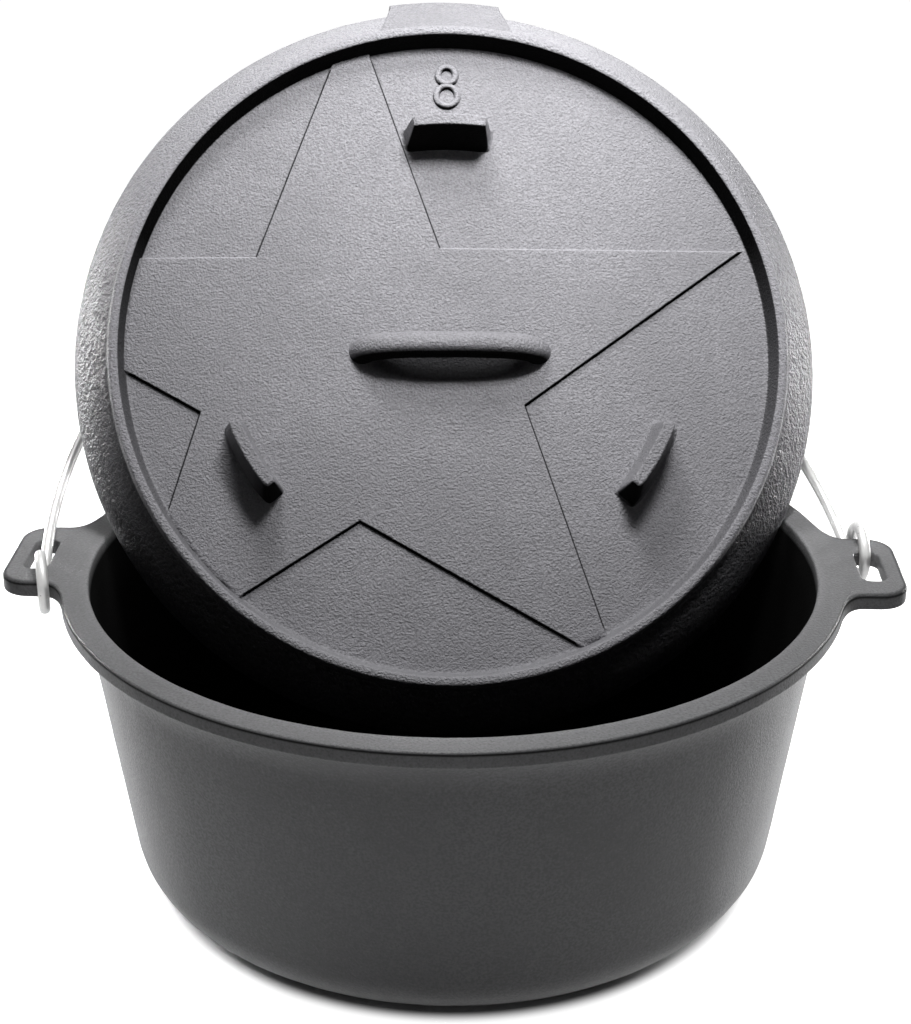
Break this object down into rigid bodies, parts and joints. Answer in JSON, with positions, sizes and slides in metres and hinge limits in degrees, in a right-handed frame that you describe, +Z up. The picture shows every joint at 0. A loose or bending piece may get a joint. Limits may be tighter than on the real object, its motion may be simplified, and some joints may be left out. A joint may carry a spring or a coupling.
{
  "type": "cast iron pot",
  "caption": "Cast iron camp oven: flat-bottomed pot with looped ears, a flanged lid with legs and a lifting arch leaning in its mouth, and a steel wire bail.",
  "frame": {"origin": "centre of the pot's flat underside, on the axis of its round body", "axes": "+Z up along the pot's axis, +X through the ear on the viewer's right, +Y away from the viewer, to the side the lid leans back to"},
  "size_m": [0.3784, 0.3583, 0.3475],
  "materials": {
    "pot_iron": "matte sand-cast surface, seasoned",
    "lid_iron": "matte sand-cast surface, seasoned",
    "bail_steel": "bright zinc-plated wire"
  },
  "bodies": {
    "pot": {"pot": "pot_iron"},
    "lid": {"lid": "lid_iron"},
    "bail": {"bail": "bail_steel"}
  },
  "joints": [
    {"name": "lid_lift", "type": "slide", "parent": "pot", "child": "lid", "axis": [0, 0, 1], "range_m": [0, 0.25]},
    {"name": "bail_swing", "type": "hinge", "parent": "pot", "child": "bail", "pos_m": [0, 0, 0.1345], "axis": [0.9923, 0.1236, 0], "range_deg": [0, 13]}
  ]
}
